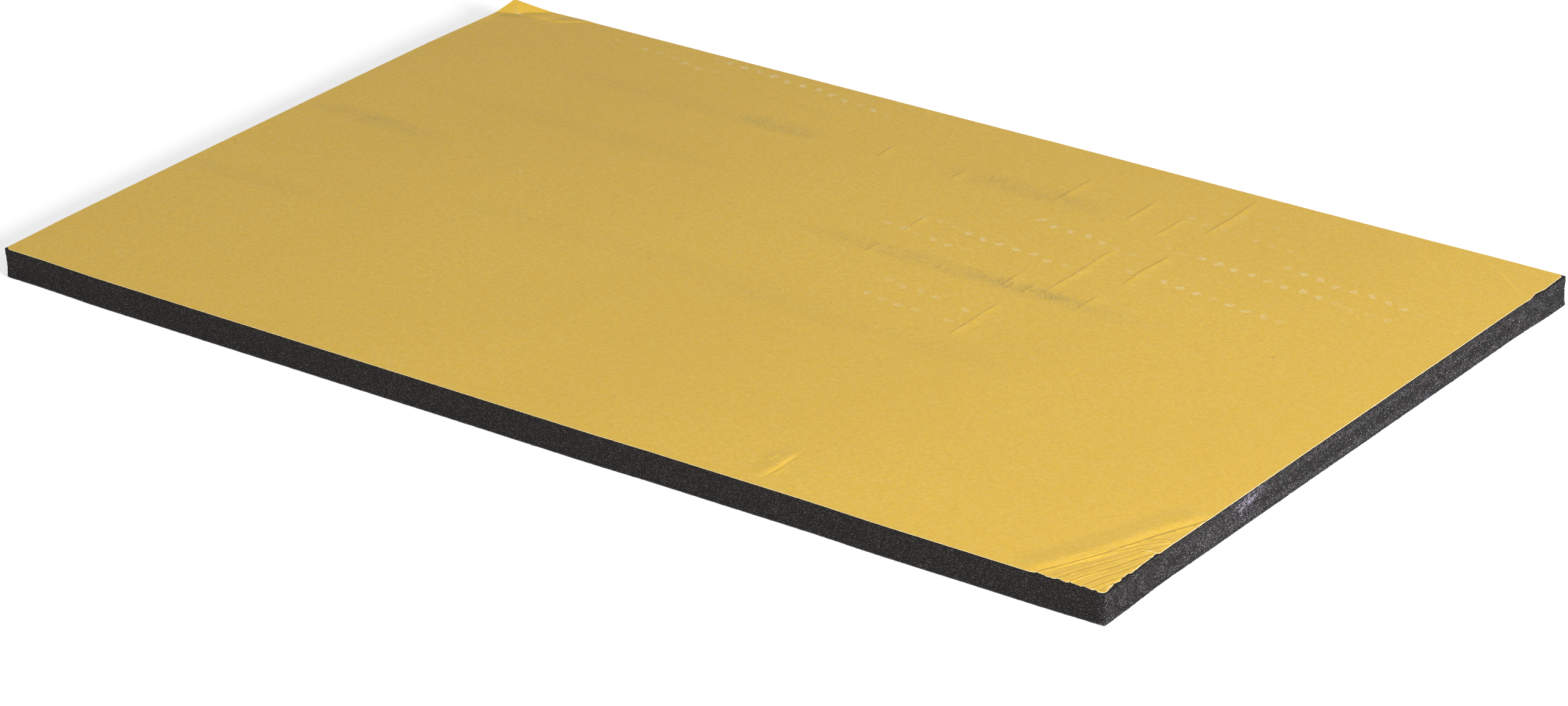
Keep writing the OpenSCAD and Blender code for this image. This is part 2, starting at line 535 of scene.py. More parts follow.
def corner_heights(at, lift):
    """Height, painted crease shade and looseness of the lifted corner, with a painted highlight on
    its lit facet: its fold, its ridge and creases.
    """
    x = at[:, 0]
    past, _ = from_line(at, smooth_line(EAR_FOLD, 3))
    up, share = from_line(at, smooth_line(EAR_RIDGE, 3))
    risen = np.maximum(past, 0) / EAR_REACH
    # The flap past the fold is nearly flat and curls a little towards its tip
    facet = lift * (0.95 * risen + 0.05 * risen ** 2)
    # The ridge before the fold is highest in the middle and runs out at both ends
    out = ramp(share, 0.1, 0.3) * (1 - 0.6 * ramp(share, 0.6, 0.3))
    ridge = (0.2 + 0.34 * out) * ramp(share, 0, 0.12) * ramp(up, 0, 1.7)
    ridge *= (1 - ramp(up, 1.7, 12.0)) * ramp(x, EAR_START[0], -40)
    total = facet + np.where(past > 0, ridge * (1 - ramp(past, 0, 6)), ridge)
    # Painted shade along the fold and in its shadow below it, and the paper that has come unstuck,
    # which carries a painted highlight on the lit facet
    line = 0.45 * foot_line(past, 0.5, 0.6)
    line += 0.42 * ramp(past, 0, -2) * (1 - ramp(past, -3, -9)) * ramp(x, -440, -30)
    before = ramp(up, 0, 3) * (1 - ramp(past, -13, -8)) * ramp(x, -425, -35)
    rim = ramp(x, -489, -5)
    # Painted highlight on the facet past the fold, which faces the lamp, over paper that has come
    # unstuck there, before the fold and along the left rim
    loose_and_lit = np.maximum(0.9 * ramp(past, -0.3, 1.2), np.maximum(0.8 * before, 0.5 * rim))
    for shape, rise, front, back, step in EAR_WRINKLES:
        left, share = from_line(at, smooth_line(shape, 2))
        total += pleat(left, share, rise, front, back, step, 0.25)
    return total, line, loose_and_lit


def crease_bend(y, place):
    """How far a cross crease strays from its place along the length."""
    return 1.5 * wobble(y, place, 30, 1.1)


def liner_heights(points, settings):
    """Height of the liner's relief, its painted crease shade, and how loose it is with painted
    highlights on lit flanks, at each point.
    """
    x, y = points.T
    scale = settings.pleat_height
    height, line, loose_and_lit = np.zeros((3, len(points)))
    # Pleats of the near corner, each with painted shade along its foot
    near = (x > NEAR_ZONE[0]) & (y < NEAR_ZONE[3])
    total, dark = np.zeros((2, near.sum()))
    for shape, rise, front, back, step in NEAR_PLEATS + SHORT_PLEATS:
        left, share = from_line(points[near], smooth_line(shape, 2))
        total += pleat(left, share, rise * scale, front, back, step * scale)
        # Painted shade at the pleat's foot
        dark = np.maximum(dark, foot_line(left + 0.2, share) * min(1.0, rise / 0.3))
    height[near] = total
    line[near] = dark
    # Wrinkles, with a painted highlight on their lit flanks of uneven width
    wide = np.ones(len(points))
    close = np.abs(x - WRINKLE_X) < 20
    wide[close] = [0.7 + 0.5 * wobble(px, py, 7, 4.4) for px, py in points[close]]
    for shape, rise, front, back, step in WRINKLES:
        left, share = from_line(points, smooth_line(shape, 2))
        height += pleat(left, share, rise * scale, front, back, step, 0.3)
        # Painted shade at the wrinkle's foot
        line = np.maximum(line, 0.35 * foot_line(left + 0.4, share, 0.9) * rise)
        # Painted highlight on the wrinkle's lit flank
        flank = ramp(left, 0, 0.6) * (1 - ramp(left, front * 0.55 * wide, 2.2))
        loose_and_lit = np.maximum(loose_and_lit, min(1.0, 1.5 * rise) * flank * fade(share, 0.35))
    # The lifted corner
    far = (x < EAR_START[0]) & (y > EAR_START[1])
    total, dark, free_and_lit = corner_heights(points[far], settings.corner_lift / MM)
    height[far] += total
    line[far] = np.maximum(line[far], dark)
    loose_and_lit[far] = np.maximum(loose_and_lit[far], free_and_lit * ramp(y[far], EAR_START[1] + 1, 20))
    # Cross creases: a sharp ridge with painted shade on one side, broken in places
    for place, low, high in CROSS_CREASES:
        close = np.abs(x - place) < 12
        off = x[close] - place - np.array([crease_bend(v, place) for v in y[close]])
        ends = fade((y[close] - low) / (high - low), 0.2)
        broken = smooth(np.array([0.25 + 2.2 * wobble(v, place, 16, 6.6) for v in y[close]]))
        side = np.clip(1 - np.abs(off) / np.where(off > 0, 1.6, 0.8), 0, 1)
        height[close] += settings.cross_height / MM * ends * side
        # Painted shade on the ridge's far side
        dark = np.clip(1 - np.abs(off + 0.8) / 0.8, 0, 1)
        line[close] = np.maximum(line[close], ends * dark * (0.12 + 0.6 * broken))
    return height, line, loose_and_lit


def inner_line(outline, away):
    """The closed outline moved inward by that distance."""
    run = np.roll(outline, -1, axis=0) - np.roll(outline, 1, axis=0)
    run /= np.linalg.norm(run, axis=1)[:, None]
    return outline + away * np.stack([-run[:, 1], run[:, 0]], axis=1)


def stretches(line, outline):
    """The stretches of a line that lie within the outline, of two points or more."""
    kept = [[]]
    for p, ok in zip(line, inside(line, outline)):
        if ok:
            kept[-1].append(p)
        elif kept[-1]:
            kept.append([])
    return [np.array(run) for run in kept if len(run) > 1]


def clear_of(grid, taken, step):
    """The points of the grid that keep nearly half a step away from the taken ones."""
    cells = {}
    for p in taken:
        cells.setdefault((int(p[0] // step), int(p[1] // step)), []).append(p)
    limit = (0.45 * step) ** 2
    kept = []
    for p in grid:
        cx, cy = int(p[0] // step), int(p[1] // step)
        if all((p[0] - q[0]) ** 2 + (p[1] - q[1]) ** 2 > limit
               for i in (-1, 0, 1) for j in (-1, 0, 1) for q in cells.get((cx + i, cy + j), ())):
            kept.append(tuple(p))
    return kept


def in_zone(points, zone):
    """Which of the points lie in the zone."""
    low_x, high_x, low_y, high_y = zone
    x, y = points.T
    return (x > low_x) & (x < high_x) & (y > low_y) & (y < high_y)


def spread_spots(outline, settings, taken):
    """Staggered points within the outline, closer together in the busy zones."""
    rng = np.random.default_rng(SPOT_SEED)
    zones = [((-EDGE_X, EDGE_X, -EDGE_Y, EDGE_Y), settings.calm_step / MM, BUSY_ZONES)]
    zones += [(zone, settings.busy_step / MM, ()) for zone in BUSY_ZONES]
    spots = []
    for (low_x, high_x, low_y, high_y), step, left_out in zones:
        xs = np.arange(low_x + step / 2, high_x, step)
        ys = np.arange(low_y + step / 2, high_y, step * 0.9)
        gx, gy = np.meshgrid(xs, ys)
        gx = gx + np.where(np.arange(len(ys)) % 2, step / 2, 0)[:, None]
        grid = np.stack([gx.ravel(), gy.ravel()], axis=1)
        grid += rng.uniform(-0.12, 0.12, grid.shape) * step
        for zone in left_out:
            grid = grid[~in_zone(grid, zone)]
        spots += clear_of(grid[inside(grid, outline)], taken, step)
    return spots


def guide_lines(outline):
    """Lines along the pleats, frays, folds and creases that the sheet's edges follow."""
    lines = []
    for shape, _, front, back, _ in NEAR_PLEATS + SHORT_PLEATS + WRINKLES + EAR_WRINKLES:
        line = smooth_line(shape, 1.8)
        for away in (-0.8, 0.0, 0.8, front * 0.5, front, front + back * 0.5, front + back):
            lines.append(beside(line, away))
    for shape, width in FRAYS:
        line = smooth_line(shape, 1.2)
        lines += [beside(line, away * width) for away in (-1.0, -0.3, 0.3, 1.0)]
    for shape in (EAR_FOLD, EAR_RIDGE):
        line = smooth_line(shape, 2.5)
        lines += [beside(line, away) for away in (-0.9, 0.0, 0.9, 2.4)]
    for place, low, high in CROSS_CREASES:
        for away in (-1.6, -0.8, 0.0, 1.6):
            lines.append(np.array([(place + away + crease_bend(y, place), y)
                                   for y in np.arange(low, high + 0.1, 4.0)]))
    return lines + [inner_line(outline, 0.8)]


def lay_liner(settings):
    """Mesh of the liner: one sheet with its pleats, wrinkle, lifted corner and torn edges."""
    outline = liner_outline(settings)
    kept = [run for line in guide_lines(outline) for run in stretches(line, outline)]
    taken = [p for line in kept for p in line] + list(outline)
    flat, faces = fill(outline, kept, spread_spots(outline, settings, taken))
    height, line, loose_and_lit = liner_heights(flat, settings)
    thick = settings.thickness / MM
    count = len(flat)
    rim = rim_edges(faces)
    top = [(x, y, FOAM_T + thick + h) for (x, y), h in zip(flat, height)]
    low = [(x, y, FOAM_T + h) for (x, y), h in zip(flat, height)]
    sheet = faces + [tuple(count + i for i in reversed(face)) for face in faces]
    walls = [(b, a, count + a, count + b) for a, b in rim]
    mesh = mesh_from("liner_sheet", strayed(top + low), sheet + walls)
    flags = np.zeros(len(mesh.polygons), dtype=np.int32)
    flags[len(sheet):] = 1
    mesh.polygons.foreach_set("material_index", flags)
    edge = np.zeros(count)
    edge[[i for pair in rim for i in pair]] = 1.0
    for name, values in (("crease_shade", line), ("loose_and_lit", loose_and_lit), ("fray", frayed(flat)),
                         ("edge", edge)):
        add_values(mesh, name, np.tile(values, 2))
    return mesh


# Node helpers

class Nodes:
    """Adds nodes to a tree and links them, with inputs given by name or number."""

    def __init__(self, tree):
        self.tree = tree

    def add(self, kind, inputs=(), **settings):
        node = self.tree.nodes.new(kind)
        for name, value in settings.items():
            setattr(node, name, value)
        self.feed(node, inputs)
        return node

    def feed(self, node, inputs):
        for key, value in dict(inputs).items():
            if isinstance(value, bpy.types.NodeSocket):
                self.tree.links.new(value, node.inputs[key])
            else:
                node.inputs[key].default_value = value

    def math(self, operation, a, b=0.0, c=0.0, clamp=False):
        return self.add("ShaderNodeMath", {0: a, 1: b, 2: c}, operation=operation,
                        use_clamp=clamp).outputs[0]

    def times(self, a, b, clamp=False):
        return self.math("MULTIPLY", a, b, clamp=clamp)

    def minus(self, a, b):
        return self.math("SUBTRACT", a, b)

    def larger(self, a, b):
        return self.math("MAXIMUM", a, b)

    def vector(self, operation, a, b):
        return self.add("ShaderNodeVectorMath", {0: a, 1: b}, operation=operation).outputs[0]

    def axes(self, vector):
        return tuple(self.add("ShaderNodeSeparateXYZ", {0: vector}).outputs)

    def noise(self, vector, scale, detail=2.0, rough=0.5):
        return self.add("ShaderNodeTexNoise", {"Vector": vector, "Scale": scale, "Detail": detail,
                                               "Roughness": rough}).outputs[0]

    def map(self, value, low, high, to_low=0.0, to_high=1.0):
        return self.add("ShaderNodeMapRange", {0: value, 1: low, 2: high, 3: to_low, 4: to_high},
                        interpolation_type="SMOOTHSTEP").outputs[0]

    def stored(self, name):
        return self.add("ShaderNodeAttribute", attribute_name=name).outputs["Fac"]

    def bump(self, height, strength, distance):
        return self.add("ShaderNodeBump", {"Height": height, "Strength": strength,
                                           "Distance": distance}).outputs[0]

    def blend(self, amount, a, b):
        return self.add("ShaderNodeMix", {0: amount, 6: a, 7: b}, data_type="RGBA").outputs[2]

    def cover(self, color, layers):
        """The colour with layers over it, each given as its amount and its own colour."""
        for amount, over in layers:
            color = self.blend(amount, color, over)
        return color

    def group(self, name, place, values):
        """The outputs of a shared shader group, which is built when first asked for."""
        if name not in GROUPS:
            GROUPS[name] = GROUP_MAKERS[name]()
        return self.add("ShaderNodeGroup", {"Vector": place, **values},
                        node_tree=GROUPS[name]).outputs

    def patch(self, place, x, y, half_length, half_width, slope=0.0):
        """Mask of a soft oblong, with its sizes in millimetres."""
        return self.group("patch", place, {
            "Middle X": x * MM, "Middle Y": y * MM, "Half length": half_length * MM,
            "Half width": half_width * MM, "Slope": slope})[0]


def shader_group(name, inputs, outputs):
    """A new group with a Vector and the named values going in, and named values out."""
    tree = bpy.data.node_groups.new(name, "ShaderNodeTree")
    tree.interface.new_socket("Vector", in_out="INPUT", socket_type="NodeSocketVector")
    for label, value in inputs.items():
        socket = tree.interface.new_socket(label, in_out="INPUT", socket_type="NodeSocketFloat")
        socket.default_value = value
    for label in outputs:
        tree.interface.new_socket(label, in_out="OUTPUT", socket_type="NodeSocketFloat")
    n = Nodes(tree)
    return n, n.add("NodeGroupInput").outputs, n.add("NodeGroupOutput")


def grain_group():
    """Group that gives a mask of the pits, where shade is painted, a mask of pale specks that
    carry a painted glint, and a height for a cut, open surface.
    """
    n, given, end = shader_group("Open cell grain", {"Cell size": 0.0009, "Speck share": 0.3},
                                 ("Cells", "Glint specks", "Height"))
    scale = n.math("DIVIDE", 1.0, given["Cell size"])
    cells = n.add("ShaderNodeTexVoronoi", {"Vector": given["Vector"], "Scale": scale},
                  feature="F1")
    walls = n.map(cells.outputs["Distance"], 0.18, 0.60)
    fine = n.noise(given["Vector"], n.times(scale, 1.1), 3.0, 0.7)
    level = n.add("ShaderNodeSeparateColor", {0: cells.outputs["Color"]}).outputs[0]
    lit = n.math("LESS_THAN", level, given["Speck share"])
    # Pale cell walls with a painted glint, brightest at their middle
    shine = n.minus(1.0, n.math("DIVIDE", level, given["Speck share"]))
    glint = n.times(n.map(cells.outputs["Distance"], 0.50, 0.18),
                    n.math("MULTIPLY_ADD", shine, 0.8, 0.35))
    n.feed(end, {
        "Cells": walls,
        "Glint specks": n.times(n.times(lit, glint), n.map(fine, 0.30, 0.6)),
        "Height": n.math("ADD", n.times(walls, 0.6), n.times(fine, 0.9))})
    return n.tree


def fibre_group():
    """Group that gives the mottle and the fine height of pressed paper fibres."""
    n, given, end = shader_group("Paper fibres", {"Fibre length": 0.004, "Contrast": 1.0},
                                 ("Mottle", "Height"))
    scale = n.math("DIVIDE", 1.0, given["Fibre length"])
    bent = n.add("ShaderNodeTexNoise", {"Vector": given["Vector"], "Scale": 60.0, "Detail": 1.0})
    swirl = n.add("ShaderNodeVectorMath", {0: bent.outputs["Color"], "Scale": 0.006},
                  operation="SCALE")
    place = n.vector("ADD", given["Vector"], swirl.outputs[0])
    long = n.noise(n.vector("MULTIPLY", place, (0.55, 1.6, 1.0)), scale, 4.0, 0.7)
    cross = n.noise(n.vector("MULTIPLY", place, (1.5, 0.6, 1.0)), scale, 3.0, 0.6)
    both = n.math("ADD", n.times(long, 0.6), n.times(cross, 0.4))
    spread = n.times(n.minus(both, 0.5), given["Contrast"])
    n.feed(end, {"Mottle": n.math("ADD", spread, 0.5, clamp=True), "Height": both})
    return n.tree


def patch_group():
    """Group that gives a soft, slanted oblong mask at a place on the sheet."""
    n, given, end = shader_group(
        "Soft patch",
        {"Middle X": 0.0, "Middle Y": 0.0, "Half length": 0.1, "Half width": 0.01, "Slope": 0.0},
        ("Mask",))
    x, y, _ = n.axes(given["Vector"])
    dx = n.minus(x, given["Middle X"])
    dy = n.minus(n.minus(y, given["Middle Y"]), n.times(dx, given["Slope"]))
    along = n.math("DIVIDE", n.math("ABSOLUTE", dx), given["Half length"])
    across = n.math("DIVIDE", n.math("ABSOLUTE", dy), given["Half width"])
    reach = n.math("ADD", n.math("POWER", along, 4.0), n.math("POWER", across, 2.0))
    n.feed(end, {"Mask": n.map(n.math("SQRT", reach), 1.0, 0.2)})
    return n.tree


# Shared shader groups by name: those built so far, and what builds each
GROUPS = {}
GROUP_MAKERS = {"grain": grain_group, "fibres": fibre_group, "patch": patch_group}


def new_material(name):
    """An empty material, its nodes, its Principled shader and the Object coordinate."""
    material = bpy.data.materials.new(name)
    material.use_nodes = True
    material.node_tree.nodes.clear()
    n = Nodes(material.node_tree)
    shader = n.add("ShaderNodeBsdfPrincipled")
    n.add("ShaderNodeOutputMaterial", {"Surface": shader.outputs[0]})
    return material, n, shader, n.add("ShaderNodeTexCoord").outputs["Object"]


def opaque(color):
    """A setting's colour as a socket takes it."""
    return tuple(color) + (1.0,)


# Colours of what lies on the foam and on the liner, with painted shade and painted highlights
# among them
# Painted shade down in the foam's open cells
PIT_SHADE = tint(12, 11, 11)
WORN = tint(190, 192, 196)
# Painted glint that makes the right-hand side brighter
GLINT = tint(150, 150, 158)
POWDER = tint(172, 166, 190)
BLOOM = tint(234, 206, 122)
RUBBED = tint(140, 128, 88)
SCUFFED = tint(240, 226, 180)
DARK_SPECK = tint(108, 84, 44)
PALE_SPECK = tint(244, 240, 226)
STAINED = tint(176, 128, 64)
# Painted highlight on lit flanks and the lifted facet, over paper that has partly come unstuck
UNSTUCK_AND_LIT = tint(255, 206, 66)
# Painted shade in the creases and under the lifted corner's fold
CREASE_SHADE = tint(150, 118, 48)
FRAYED = tint(244, 224, 172)
# Cream of the cut edge, brightened along the rim as a painted highlight
CUT_EDGE_HIGHLIGHT = tint(238, 222, 172)
FIBRE = tint(214, 186, 110)


def cut_foam_material(settings):
    """Charcoal open-cell foam: painted shade in the pits, pale cell walls with painted glints that
    are brighter on the right side, dust and a pale lower arris.
    """
    material, n, shader, place = new_material("cut_foam")
    coarse = n.group("grain", place, {"Cell size": 0.0009, "Speck share": 0.45})
    finer = n.group("grain", place, {"Cell size": 0.0005, "Speck share": 0.45})
    x, _, z = n.axes(place)
    # The right-hand side, with pale wear at its foot and painted glints that brighten it
    right_side = n.map(x, (HALF_L - 4) * MM, (HALF_L - 1) * MM, 0.15, 1.0)
    cloudy = n.map(n.noise(place, 160.0, 3.0, 0.65), 0.35, 0.65)
    # Pale cell walls with a painted glint
    glint_specks = n.larger(coarse["Glint specks"], n.times(finer["Glint specks"], 0.8))
    # Painted shade: the open cells are darkened where shade falls in them
    pit_shade = n.times(n.map(coarse["Cells"], 0.7, 1.0), n.map(finer["Cells"], 0.3, 0.8))
    worn = n.times(n.map(z, 0.0016, 0.0011),
                   n.map(n.noise(place, 260.0, 3.0, 0.6), 0.36, 0.5, 0.25, 1.0))
    powder = n.map(n.noise(place, 520.0, 4.0, 0.8), 0.44, 0.62)
    base = n.cover(opaque(settings.foam_dark), (
        (n.times(cloudy, 0.3), opaque(settings.foam_light)),
        # Painted glint on the pale cell-wall specks
        (glint_specks, opaque(settings.speck_glint_color)),
        # Painted shade in the pits
        (n.times(pit_shade, 0.6), PIT_SHADE),
        (n.times(n.times(worn, right_side), 0.85), WORN),
        # Painted light: extra glints on the right-hand side, which the lamp lights more
        (n.times(n.times(glint_specks, right_side), 0.42), GLINT),
        (n.times(n.times(n.stored("dust"), powder), 0.6, clamp=True), POWDER)))
    height = n.math("MULTIPLY_ADD", finer["Height"], 0.5, coarse["Height"])
    n.feed(shader, {"Base Color": base, "Roughness": n.map(glint_specks, 0.0, 1.0, 0.95, 0.6),
                    "Specular IOR Level": 0.2, "Normal": n.bump(height, 0.9, 0.0007)})
    return material


# Grey smudges: middle, half length and half width in millimetres, slope and strength
SMUDGES = (
    (135, 64, 185, 16, -0.02, 0.10), (-250, 208, 150, 17, 0.0, 0.05),
    (-150, 210, 48, 16, 0.0, 0.11), (80, 213, 90, 19, 0.0, 0.10),
    (-428, 46, 80, 18, 0.0, 0.08), (-412, 48, 38, 12, 0.0, 0.05),
    (-435, -95, 74, 16, 0.0, 0.06), (190, 64, 62, 10, 0.0, 0.10),
    (-300, 120, 190, 20, 0.0, 0.04), (-100, -40, 220, 22, 0.0, 0.03),
    (120, -55, 160, 18, 0.0, 0.04),
)
# Rows of pale scuffed dashes: slope, spacing and place of the first, and the dashes' own
# spacing in a row
SCUFF_SLOPE = -0.12
SCUFF_PITCH = 25.6
SCUFF_FIRST = 6.7
SCUFF_STEP = 15.5
# Stretches where those rows show: start and end along the length, row and strength
SCUFF_PATCHES = (
    (-300, -70, 10, 0.9), (-388, -240, 9, 0.55), (75, 240, 7, 0.6), (212, 462, 8, 0.75),
    (302, 465, 9, 0.65), (30, 230, 5, 0.65), (205, 392, 6, 0.7), (12, 120, 4, 0.5),
    (68, 200, 0, 0.45), (70, 208, 1, 0.45), (179, 333, 10, 0.3), (190, 320, 11, 0.25),
)
# Specks on the liner: middle and half size in millimetres
DARK_SPECKS = (
    (-316, 29, 0.7), (238, 206, 0.7), (392, 223, 0.7), (458, 96, 0.6), (81, -33, 0.8),
    (-478, 88, 0.6), (-473, -104, 0.7), (262, -190, 0.5), (262, -218, 0.4), (248, -262, 0.55),
)
PALE_SPECKS = ((-367, 14, 1.0), (-265, 29, 1.0))
# Stain on the liner: middle, half length and half width in millimetres
STAIN = (399, 65, 2.6, 2.6)
# Strokes of one scuffed dash: offset, half width and half length in millimetres
SCUFF_STROKES = ((0.0, 1.3, 5.4), (2.3, 1.0, 3.6), (-2.0, 0.9, 2.8))


def smudge_amount(n, place):
    """How grey the paper is: soft patches broken up by a slanted hatch."""
    rub = n.noise(n.vector("MULTIPLY", place, (1.0, 1.7, 1.0)), 60.0, 5.0, 0.75)
    turned = n.add("ShaderNodeVectorRotate", {"Vector": place, "Angle": math.radians(58)},
                   rotation_type="Z_AXIS").outputs[0]
    hatch = n.noise(n.vector("MULTIPLY", turned, (1.0, 5.0, 1.0)), 190.0, 3.0, 0.65)
    streaks = n.times(n.map(rub, 0.3, 0.68, 0.45, 1.3), n.map(hatch, 0.42, 0.66, 0.7, 2.3))
    total = 0.0
    for *oblong, strength in SMUDGES:
        total = n.math("MULTIPLY_ADD", n.patch(place, *oblong), strength, total)
    return n.times(total, streaks, clamp=True)


def scuff_amount(n, place, ragged):
    """How scuffed the paper is: slanted rows of short strokes within the scuffed patches."""
    x, y, _ = n.axes(place)
    row = n.minus(n.math("MULTIPLY_ADD", x, -SCUFF_SLOPE, y), SCUFF_FIRST * MM)
    row = n.math("DIVIDE", row, SCUFF_PITCH * MM)
    column = n.math("DIVIDE", x, SCUFF_STEP * MM)
    near_row = n.math("ROUND", row)
    near_column = n.math("ROUND", column)
    across = n.times(n.minus(row, near_row), SCUFF_PITCH)
    along = n.times(n.minus(column, near_column), SCUFF_STEP)
    cell = n.add("ShaderNodeCombineXYZ", {0: near_column, 1: near_row})
    chance = n.add("ShaderNodeTexWhiteNoise", {"Vector": cell.outputs[0]}, noise_dimensions="3D")
    turn, power, shift = n.add("ShaderNodeSeparateColor",
                               {0: chance.outputs["Color"]}).outputs[:3]
    lean = n.times(n.minus(turn, 0.5), 0.9)
    across = n.math("MULTIPLY_ADD", shift, 5.0, n.minus(across, 2.5))
    uneven = n.times(n.minus(ragged, 0.5), 3.0)
    strokes = 0.0
    for offset, width, reach in SCUFF_STROKES:
        off = n.minus(across, n.math("MULTIPLY_ADD", along, lean, offset))
        off = n.math("ABSOLUTE", n.math("ADD", off, uneven))
        body = n.times(n.map(off, width, 0.0),
                       n.map(n.math("ABSOLUTE", along), reach, reach * 0.4))
        strokes = n.larger(body, strokes)
    strokes = n.times(strokes, n.map(ragged, 0.38, 0.56, 0.25, 1.2))
    strokes = n.times(strokes, n.map(power, 0.1, 0.5, 0.4, 1.2))
    patches = 0.0
    for start, end, number, strength in SCUFF_PATCHES:
        middle = (start + end) / 2
        height = SCUFF_FIRST + SCUFF_PITCH * number + SCUFF_SLOPE * middle
        mask = n.patch(place, middle, height, (end - start) / 2, SCUFF_PITCH * 0.62, SCUFF_SLOPE)
        patches = n.larger(n.times(mask, strength), patches)
    return n.times(strokes, patches, clamp=True)


def speck_amount(n, place, ragged, spots):
    """How strong the specks are, as ragged oblongs."""
    mask = 0.0
    for x, y, size in spots:
        mask = n.larger(n.patch(place, x, y, size, size * 0.8, 0.2), mask)
    return n.times(mask, n.map(ragged, 0.3, 0.5, 0.5, 0.9))


def liner_material(settings):
    """Satin golden paper with its mottle, smudges, scuffs and specks, painted shade in its
    creases, and painted highlights on lit flanks and along the cut edge.
    """
    material, n, shader, place = new_material("liner_paper")
    coarse = n.group("fibres", place, {"Fibre length": 0.0022, "Contrast": 2.2})
    finer = n.group("fibres", place, {"Fibre length": 0.0010, "Contrast": 2.2})
    deep = opaque(settings.paper_shadow)
    ragged = n.noise(place, 420.0, 3.0, 0.7)
    base = n.cover(opaque(settings.paper_color), (
        (n.map(coarse["Mottle"], 0.2, 0.8, 0.55, 0.0), deep),
        (n.map(finer["Mottle"], 0.2, 0.8, 0.30, 0.0), deep),
        (n.map(n.noise(place, 260.0, 4.0, 0.7), 0.42, 0.7, 0.0, 0.35), BLOOM),
        (n.map(n.noise(place, 3.2, 3.0, 0.5), 0.35, 0.7, 0.0, 0.18), deep),
        (smudge_amount(n, place), RUBBED),
        (n.times(scuff_amount(n, place, ragged), 0.85), SCUFFED),
        (speck_amount(n, place, ragged, DARK_SPECKS), DARK_SPECK),
        (speck_amount(n, place, ragged, PALE_SPECKS), PALE_SPECK),
        (n.times(n.patch(place, *STAIN), 0.4), STAINED),
        # Painted highlight on lit flanks and the lifted facet, partly over unstuck paper
        (n.times(n.stored("loose_and_lit"), 0.8), UNSTUCK_AND_LIT),
        # Painted shade in the creases, at the pleats' feet and under the fold
        (n.times(n.stored("crease_shade"), 0.55), CREASE_SHADE),
        (n.times(n.stored("fray"), 0.6), FRAYED),
        # Cream cut edge along the rim, brightened as a painted highlight
        (n.times(n.map(n.stored("edge"), 0.3, 0.9), 0.75), CUT_EDGE_HIGHLIGHT)))
    n.feed(shader, {"Base Color": base, "Specular IOR Level": 0.18,
                    "Roughness": n.map(coarse["Mottle"], 0.2, 0.8, 0.40, 0.52),
                    "Normal": n.bump(coarse["Height"], 0.12, 0.0004)})
    return material


def torn_edge_material(settings):
    """Cream fibres of the liner's cut and torn edge."""
    material, n, shader, place = new_material("liner_edge")
    fibres = n.group("fibres", place, {"Fibre length": 0.0012, "Contrast": 2.0})
    pale = n.map(fibres["Mottle"], 0.3, 0.7)
    n.feed(shader, {"Base Color": n.blend(pale, FIBRE, opaque(settings.edge_color)),
                    "Roughness": 0.85, "Normal": n.bump(fibres["Height"], 0.4, 0.0003)})
    return material


def crumb_material(name, dark, light, size):
    """A dull mineral, cell-wall or paper crumb that varies from one to the next."""
    material, n, shader, place = new_material(name)
    grain = n.group("grain", place, {"Cell size": size, "Speck share": 0.4})
    base = n.cover(dark, ((n.map(n.noise(place, 600.0), 0.35, 0.65), light),
                          (n.times(grain["Cells"], 0.3), dark)))
    n.feed(shader, {"Base Color": base,
                    "Roughness": n.map(grain["Glint specks"], 0.0, 1.0, 0.85, 0.5)})
    return material


# Geometry node trees

# Inputs of the scattering tree: name, kind of socket and default
CRUMB_INPUTS = (
    ("Geometry", "Geometry", None), ("Density", "Float", 1.0), ("Where", "String", ""),
    ("Smallest", "Float", 0.0002), ("Largest", "Float", 0.0006), ("Shape low", "Vector", None),
    ("Shape high", "Vector", None), ("Seed", "Int", 0), ("Material", "Material", None),
)


